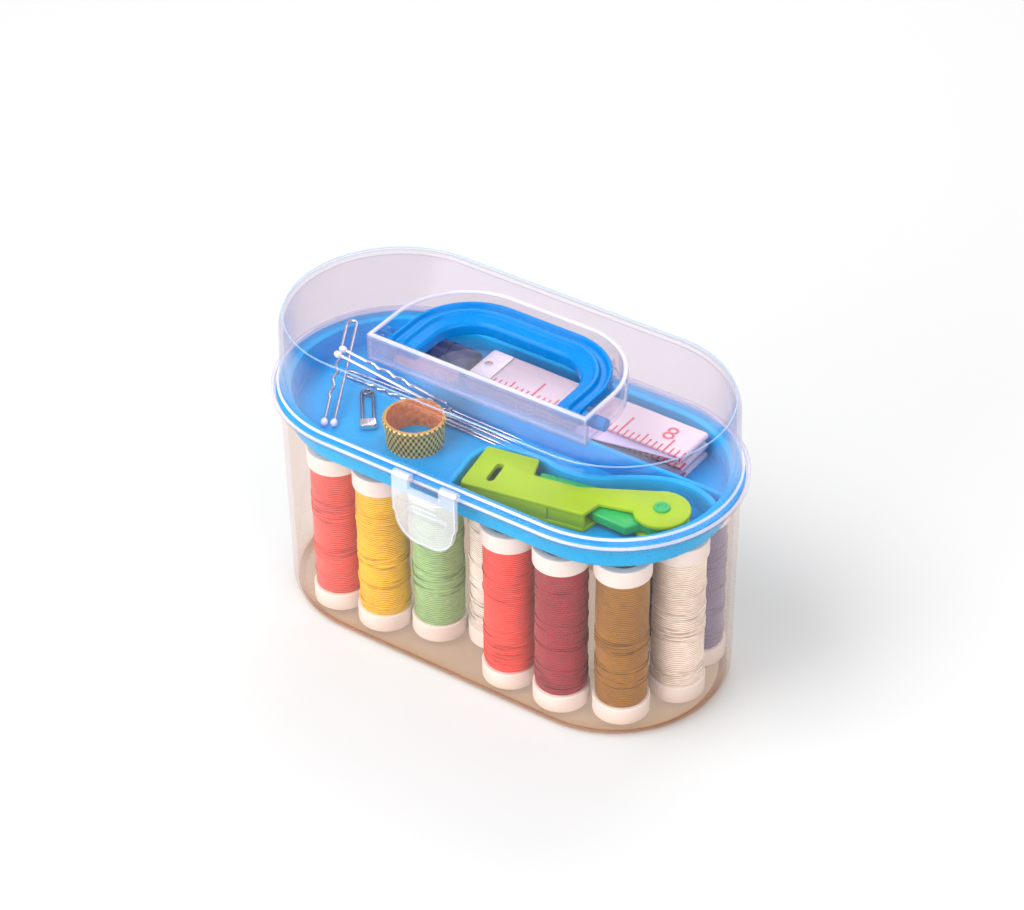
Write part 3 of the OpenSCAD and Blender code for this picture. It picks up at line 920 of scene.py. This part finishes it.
def thimble():
    """An open ring thimble, dimpled all over outside and rolled at its rim."""
    low, high = cad_box("thimble")
    cx, cy = -19.4, -10.4
    foot, height = low.z, high.z - low.z
    around, up, columns, levels = 272, 45, 34, 7
    rows, uvs = [], []
    for i in range(around + 1):
        turn = i / around
        a = math.radians(23 + 354 * turn)
        row = []
        for j in range(up + 1):
            t = j / up
            band = min(1, max(0, (0.84 - t) / 0.04)) * min(1, t / 0.06)
            pip = math.cos(2 * math.pi * columns * turn) * math.cos(math.pi * levels * t)
            rim = 0.3 * max(0, math.sin(math.pi * (t - 0.86) / 0.14)) if t > 0.86 else 0
            row.append((7.0 + 0.5 * t + rim - 0.16 * (1 - pip) * band, t))
            uvs.append((columns * turn, max(0.01, levels * t / 2)))
        inner = [(6.3 + 0.45 * t, t) for t in (1.0, 0.75, 0.5, 0.25, 0.0)]
        uvs += [(0.0, -1.0)] * len(inner)
        rows.append([
            (cx + r * math.cos(a), cy + r * math.sin(a), foot + t * height) for r, t in row + inner
        ])
    shape = Shape().grid(rows, capped=True, uvs=uvs)
    shape.piece("ring_thimble", "tray", "thimble_brass", LOOKS["brass"], ["thimble"], sharp=60)


def fold_path():
    """The folded tape's middle line in its upright plane, from the bottom layer up."""
    left, right = TAPE_X
    fold = TAPE_PITCH / 2
    path = []
    for layer in range(TAPE_LAYERS):
        z = TAPE_FOOT + layer * TAPE_PITCH
        ends = (left, right) if layer % 2 == 0 else (right, left)
        for k in range(25):
            t = k / 24
            x = ends[0] + (ends[1] - ends[0]) * t
            wave = 0.16 * math.sin(math.pi * t) * math.sin(2 * math.pi * (1.5 * t + layer * 0.37))
            path.append((x, z + wave))
        if layer < TAPE_LAYERS - 1:
            side = 1 if layer % 2 == 0 else -1
            for k in range(1, 8):
                a = math.pi * (k / 8 - 0.5)
                path.append((ends[1] + side * fold * math.cos(a), z + fold + fold * math.sin(a)))
    return path


def tape_measure():
    """A coated tape folded to and fro, printed on its upper face."""
    path = [Vector(p) for p in fold_path()]
    front, back = TAPE_Y
    rows, uvs, run = [], [], 0.0
    for i, point in enumerate(path):
        run += (point - path[i - 1]).length if i else 0
        along = (path[min(i + 1, len(path) - 1)] - path[max(i - 1, 0)]).normalized()
        up = Vector((-along.y, along.x)) * TAPE_THICK / 2
        row = []
        for y, way in ((front, 1), (back, 1), (back, -1), (front, -1)):
            p = point + up * way
            row.append((p.x, y, p.y))
            uvs.append((run, y - front))
        rows.append(row)
    shape = Shape().grid(rows, capped=True, uvs=uvs)
    piece = shape.piece("folded_tape", "tray", "tape_white", LOOKS["tape"], ["tape_measure"])


def tape_tail():
    """The tape's loose inner end: from under the top layer, it droops onto the needle card."""
    root, length, width, thick, height = Vector((40.5, 16.8)), 27.0, 12.0, 0.3, 58.35
    slant = math.radians(9.2)
    along = Vector((-math.cos(slant), -math.sin(slant)))
    across = Vector((-along.y, along.x))
    rows = []
    for i in range(25):
        middle = root + along * (length * i / 24)
        spots = [middle + across * (width * (k / 10 - 0.5)) for k in range(11)]
        upper, lower = [], []
        for spot in spots:
            droop = 0.55 * min(1, max(0, (TAPE_Y[0] - spot.y) / 3)) ** 1.5
            upper.append((spot.x, spot.y, height + thick / 2 - droop))
            lower.append((spot.x, spot.y, height - thick / 2 - droop))
        rows.append(upper + lower[::-1])
    shape = Shape().grid(rows, capped=True)
    piece = shape.piece("tape_inner_end", "tray", "tape_white", LOOKS["tape_back"])


def tape_numbers():
    """Plain generic numbers on the tape's top layer."""
    top = TAPE_FOOT + (TAPE_LAYERS - 1) * TAPE_PITCH + TAPE_THICK / 2
    for number, x in (("7", 8.6), ("8", 35.0)):
        curve = bpy.data.curves.new(f"number_{number}", "FONT")
        curve.body = number
        curve.size = 7.0 * MM
        curve.extrude = 0.02 * MM
        curve.align_x = "CENTER"
        obj = new_object(f"tape_number_{number}", curve)
        obj.location = Vector((x, 15.4, top + 0.06)) * MM
        curve.materials.append(moulded(f"tape_print_{number}", screen(214, 84, 100), 0.5))
        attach(obj, "tray")


def tape_tip():
    """The tape's pressed metal end, with a hole and softened edges."""
    low, high = cad_box("tape_tip")
    outline = rounded(oblong(low.x, low.y, high.x, high.y), 0.8)
    plate = Shape().slab(outline, low.z, high.z, 0.12)
    hole = plug(arc((low.x + 2.2, (low.y + high.y) / 2), 1.1, 0, 345, 23), low.z, high.z)
    cut(plate, hole).piece("tape_end_plate", "tray", "tip_steel", LOOKS["tip"], ["tape_tip"])


def pin_frame(at, drop, turn):
    """The place of a pin: where it starts, how far it drops along its length, and which way it points."""
    return (
        Matrix.Translation(at)
        @ Matrix.Rotation(math.radians(turn), 4, "Z")
        @ Matrix.Rotation(math.radians(drop), 4, "Y")
    )


# Where each pin starts, its drop and turn in degrees, and its length. The safety pins have no drop.
# The half widths are from the middle of a pin to the middle of its wire.
GRIP_HALF = 1.2
SAFETY_HALF = 1.4
SAFETY_START = 1.6
BOBBIES = (
    ((-53.8, 10.6, 60.6), 14, -63.8, 32),
    ((-48.6, 2.5, 52.35), -0.9, 0, 23.5),
    ((-21, 3.2, 53.6), -12.6, 186, 29.5),
)
SAFETIES = (((-31.9, -12.4, 52.5), 128, 13.4), ((-28.4, -22.4, 52.5), 2, 15))


def bobby_pins():
    """Sprung hair grips: a straight arm, and one with three crimps."""
    shape = Shape()
    for at, drop, turn, length in BOBBIES:
        crimped = []
        for k in range(41):
            x = length * (1 - k / 40)
            within = min(1, max(0, (x - length * 0.3) / (length * 0.45)))
            wave = 0.38 * math.sin(6 * math.pi * within)
            crimped.append((x, wave - GRIP_HALF, 0))
        bend = [(x, y, 0) for x, y in arc((0, 0), GRIP_HALF, -105, -255, 10)]
        straight = [(length * k / 12, GRIP_HALF, 0) for k in range(13)]
        wire = Shape().tube(crimped + bend + straight, 0.42, 12)
        shape.place(wire, pin_frame(at, drop, turn))
    shape.piece("hair_grips", "tray", "pin_steel", LOOKS["steel"], ["bobby_pins"])


def bobby_tips():
    """The dipped ends of the hair grips."""
    shape = Shape()
    for at, drop, turn, length in BOBBIES:
        for side in (-1, 1):
            xs = [-1.3 + 2.2 * k / 14 for k in range(15)]
            radii = [0.05 + 0.83 * math.sqrt(max(0, 1 - ((x + 0.2) / 1.12) ** 2)) for x in xs]
            tip = Shape().tube([(length + x, side * GRIP_HALF, 0) for x in xs], 0, 16, radii)
            shape.place(tip, pin_frame(at, drop, turn))
    shape.piece("hair_grip_tips", "tray", "white_plastic", LOOKS["white"], ["bobby_tips"])


def safety_pins():
    """Two closed safety pins, each with a coil at its bend."""
    shape = Shape()
    for at, turn, length in SAFETIES:
        arm = length - SAFETY_START
        path = [(SAFETY_START + arm * k / 8, -SAFETY_HALF, 0) for k in range(9)]
        for k in range(1, 36):
            a = math.radians(-90 + 540 * k / 36)
            pinch = math.sin(math.pi * k / 36)
            r = SAFETY_HALF - 0.45 * pinch
            path.append((length + r * math.cos(a), r * math.sin(a), 0.42 * pinch))
        path += [(length - arm * k / 8, SAFETY_HALF, 0) for k in range(9)]
        shape.place(Shape().tube(path, 0.36, 12), pin_frame(at, 0, turn))
    shape.piece("safety_pin_wires", "tray", "pin_steel", LOOKS["steel_painted_dark_reflection"], ["safety_pins"])


def safety_caps():
    """The folded sheet caps of the safety pins."""
    shape = Shape()
    for at, turn, _ in SAFETIES:
        outline = [(-1.2, -1.5), (-0.4, -2.2), (2.2, -2.0), (2.2, 2.0), (-0.4, 2.2), (-1.2, 1.5)]
        cap = Shape().slab(rounded(outline, 0.5), -0.7, 0.9, 0.5, 4)
        cap.tube([(-0.6 + 0.3 * k, 0, 0.62) for k in range(9)], 0.3, 8)
        shape.place(cap, pin_frame(at, 0, turn))
    shape.piece("safety_pin_caps", "tray", "cap_chrome", LOOKS["chrome"], ["safety_caps"])


def needles():
    """Five needles side by side, tapered to their points."""
    shape = Shape()
    starts = ((-22.5, -0.9), (-22, 0.4), (-21.5, 1.7), (-20.5, 3.0), (-20, 4.2))
    length = 22
    xs = [length * k / 24 for k in range(25)]
    radii = [0.33 * min(1, 0.35 + v / 1.2, 0.06 + (length - v) / 5) for v in xs]
    for (x, y), turn in zip(starts, (-1, -2, -1, -2, -1)):
        needle = Shape().tube([(v, 0, 0) for v in xs], 0, 10, radii)
        shape.place(needle, pin_frame((x, y, TRAY_FLOOR + 0.57), 0.5, turn))
    shape.piece("needle_shafts", "tray", "pin_steel", LOOKS["steel"], ["needles"])


def chalk():
    """A pressed block of tailor's chalk with worn edges."""
    low, high = cad_box("chalk")
    y, radius = (low.y + high.y) / 2, 3.5
    left = arc((low.x + radius, y), radius, 90, 270, 16)
    right = arc((high.x - radius, y), radius, -90, 90, 16)
    shape = Shape().slab(left + right, low.z, high.z, 0.8, 4)
    shape.piece("chalk_block", "tray", "chalk_peach", LOOKS["chalk"], ["chalk"])


def needle_case():
    """A capped needle tube with a joint line and domed ends."""
    low, high = cad_box("needle_case")
    r, length, middle_y = (high.z - low.z) / 2, high.x - low.x, 19.2
    joint = length * 0.6
    profile = [(0, 0)] + arc((r - 1.2, 1.2), 1.2, -90, 0, 5)
    profile += [(r, joint), (r - 0.25, joint + 0.15), (r - 0.25, joint + 0.45), (r, joint + 0.6)]
    profile += arc((r - 1.6, length - 1.6), 1.6, 0, 90, 5) + [(0, length)]
    shape = Shape().lathe(profile, segments=40)
    foot = Matrix.Translation((low.x, middle_y, TRAY_FLOOR + r))
    shape.turned(foot @ Matrix.Rotation(math.pi / 2, 4, "Y"))
    shape.piece("needle_tube", "tray", "case_navy", LOOKS["case"], ["needle_case"])


def needle_card():
    """A folded card of needles standing behind the divider."""
    low, high = cad_box("needle_card")
    leaves = 4
    shape = Shape()
    for k in range(leaves):
        front = low.y + (high.y - low.y) * k / leaves
        outline = rounded(oblong(low.x + k * 0.3, front, high.x, front + 0.7), 0.2)
        shape.slab(outline, low.z, high.z - 0.2 * k, 0.12)
    shape.piece("needle_card_leaves", "tray", "card_slate", LOOKS["card"], ["needle_card"])


def lid_trim():
    """Beads along the lid's edges, pocket mouth and foot, crown and rim, in a milky white that paints
    their bright edge highlights.
    """
    mouth = pocket_outline(LID_WALL / 2)
    shape = Shape().bead(mouth, BOX_H - 0.5, 0.5)
    shape.bead(mouth, POCKET_FLOOR - 0.2, 0.34)
    for x, y in mouth[:2]:
        shape.tube([(x, y, POCKET_FLOOR), (x, y, BOX_H - 0.5)], 0.3, 8)
    shape.bead(long_oval(CROWN_R), 60.45, 0.38)
    shape.bead(long_oval(RIM_R - 0.4), 58.9, 0.4)
    shape.piece("lid_edge_highlight_beads", "lid", "clear_plastic", LOOKS["clear_edge_highlight"])


def lid_crown():
    """A painted highlight: a soft pale line where the lid's wall turns into its top."""
    shape = Shape().bead(long_oval(27.4), BOX_H - 0.55, 0.2)
    shape.piece("lid_crown_highlight_line", "lid", "clear_plastic", LOOKS["clear_pane_painted_light"])


def pocket_pane():
    """The slightly frosted front wall of the handle pocket, in a painted pale blue haze that stands for
    the blue parts seen through it.
    """
    half, front, skin = POCKET[0] + LID_WALL, POCKET[1], 0.1
    outline = oblong(-half, front - LID_WALL + skin, half, front - skin)
    shape = Shape().slab(outline, POCKET_FLOOR - 0.6, BOX_H - 0.6, 0.05, 1)
    shape.piece("pocket_frosted_wall_painted_blue", "lid", "clear_plastic", LOOKS["clear_pane_painted_light"])


def base_trim():
    """The thick edge round the base's foot, in a painted tan-brown that stands for the light and shade
    seen along it.
    """
    shape = Shape().bead(long_oval(27.2), 0.75, 0.4)
    shape.piece("base_foot_bead", "base", "clear_plastic", LOOKS["clear_foot_painted_tan"])


def latch_trim(body, turn):
    """The latch's raised border and three finger ridges, in a milky white that paints bright highlight
    lines along them.
    """
    low_r, edge = 6.5, 0.35
    low_x = LATCH_W / 2 - low_r - 0.7
    low_z = LATCH_FOOT + low_r
    half = LATCH_W / 2 - edge
    outline = [(-half, LATCH_TOP), (-half, low_z + 1.5)]
    outline += arc((-low_x, low_z), low_r - edge, 180, 270, 10)
    outline += arc((low_x, low_z), low_r - edge, 270, 360, 10)
    outline += [(half, low_z + 1.5), (half, LATCH_TOP)]
    front = 0.3 - LATCH_OUT
    shape = Shape().tube([(x, front, z) for x, z in outline], 0.15, 8)
    for z, reach in ((52.4, 3.2), (53.8, 3.6), (55.2, 3.2)):
        shape.tube([(x * reach, front, z) for x in (-1, -0.5, 0.5, 1)], 0.16, 8)
    shape.turned(Matrix.Rotation(turn, 4, "Z"))
    shape.piece(f"{body}_ridges", body, "clear_plastic", LOOKS["clear_edge_highlight"])


def dress_cad_nodes():
    """Better materials for the CAD nodes that stay as they are."""
    for node, look in (
        ("lid", "clear_lid"), ("base_shell", "clear_base"), ("latch_front", "clear_latch"),
        ("latch_back", "clear_latch"), ("pin_heads", "white"),
    ):
        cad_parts[node].data.materials[0] = LOOKS[look]


# ---- room, light and camera ----

AIM = Vector((0, 0, 0.04))


def studio():
    """A pale floor, a white world and four soft lamps."""
    bpy.ops.mesh.primitive_plane_add(size=6)
    floor = bpy.context.object
    floor.name = "studio_floor"
    floor.data.materials.append(studio_floor())
    scene = bpy.context.scene
    scene.world = bpy.data.worlds.new("studio")
    scene.world.use_nodes = True
    sky = scene.world.node_tree.nodes["Background"]
    sky.inputs["Color"].default_value = (1, 1, 1, 1)
    sky.inputs["Strength"].default_value = 0.78
    scene.view_settings.view_transform = "Standard"
    scene.cycles.transparent_max_bounces = 32
    for name, place, size, power in (
        ("key", (-0.25, -0.35, 0.75), 0.5, 5.5),
        ("fill", (0.6, -0.2, 0.45), 0.5, 2.0),
        ("back", (-0.15, 0.6, 0.6), 0.6, 3.0),
        ("front", (-0.2, -0.85, 0.22), 0.6, 5.5),
    ):
        lamp = bpy.data.lights.new(name, "AREA")
        lamp.size = size
        lamp.energy = power
        obj = new_object(name, lamp)
        obj.location = place
        obj.rotation_euler = (AIM - obj.location).to_track_quat("-Z", "Y").to_euler()


def camera():
    """A long lens from the front right, well above the lid."""
    azimuth, elevation, roll = (math.radians(v) for v in (35.23, 37.35, -0.74))
    distance = 0.72683
    level = Vector((math.cos(azimuth), math.sin(azimuth), 0))
    ahead = Vector((-math.sin(azimuth), math.cos(azimuth), 0))
    back = -ahead * math.cos(elevation) + Vector((0, 0, math.sin(elevation)))
    up = back.cross(level)
    across = level * math.cos(roll) + up * math.sin(roll)
    upright = -level * math.sin(roll) + up * math.cos(roll)
    lens = bpy.data.cameras.new("photo_view")
    lens.lens = 105.9
    lens.shift_x = 0.00502
    lens.shift_y = 0.0301
    obj = new_object("photo_view", lens)
    turn = Matrix((across, upright, back)).transposed().to_4x4()
    obj.matrix_world = Matrix.Translation(AIM + back * distance) @ turn
    bpy.context.scene.camera = obj


for seed, colour in enumerate(COLOURS, 1):
    spool_tube(colour)
    winding(colour, seed)
for make in (
    tray, handle, snips_casing, snips_lever, snips_rivet, thimble, tape_measure, tape_tail, tape_numbers,
    tape_tip, bobby_pins, bobby_tips, safety_pins, safety_caps, needles, needle_card, needle_case, chalk,
    dress_cad_nodes, lid_trim, lid_crown, pocket_pane, base_trim,
):
    make()
latch_trim("latch_front", 0)
latch_trim("latch_back", math.pi)
studio()
camera()
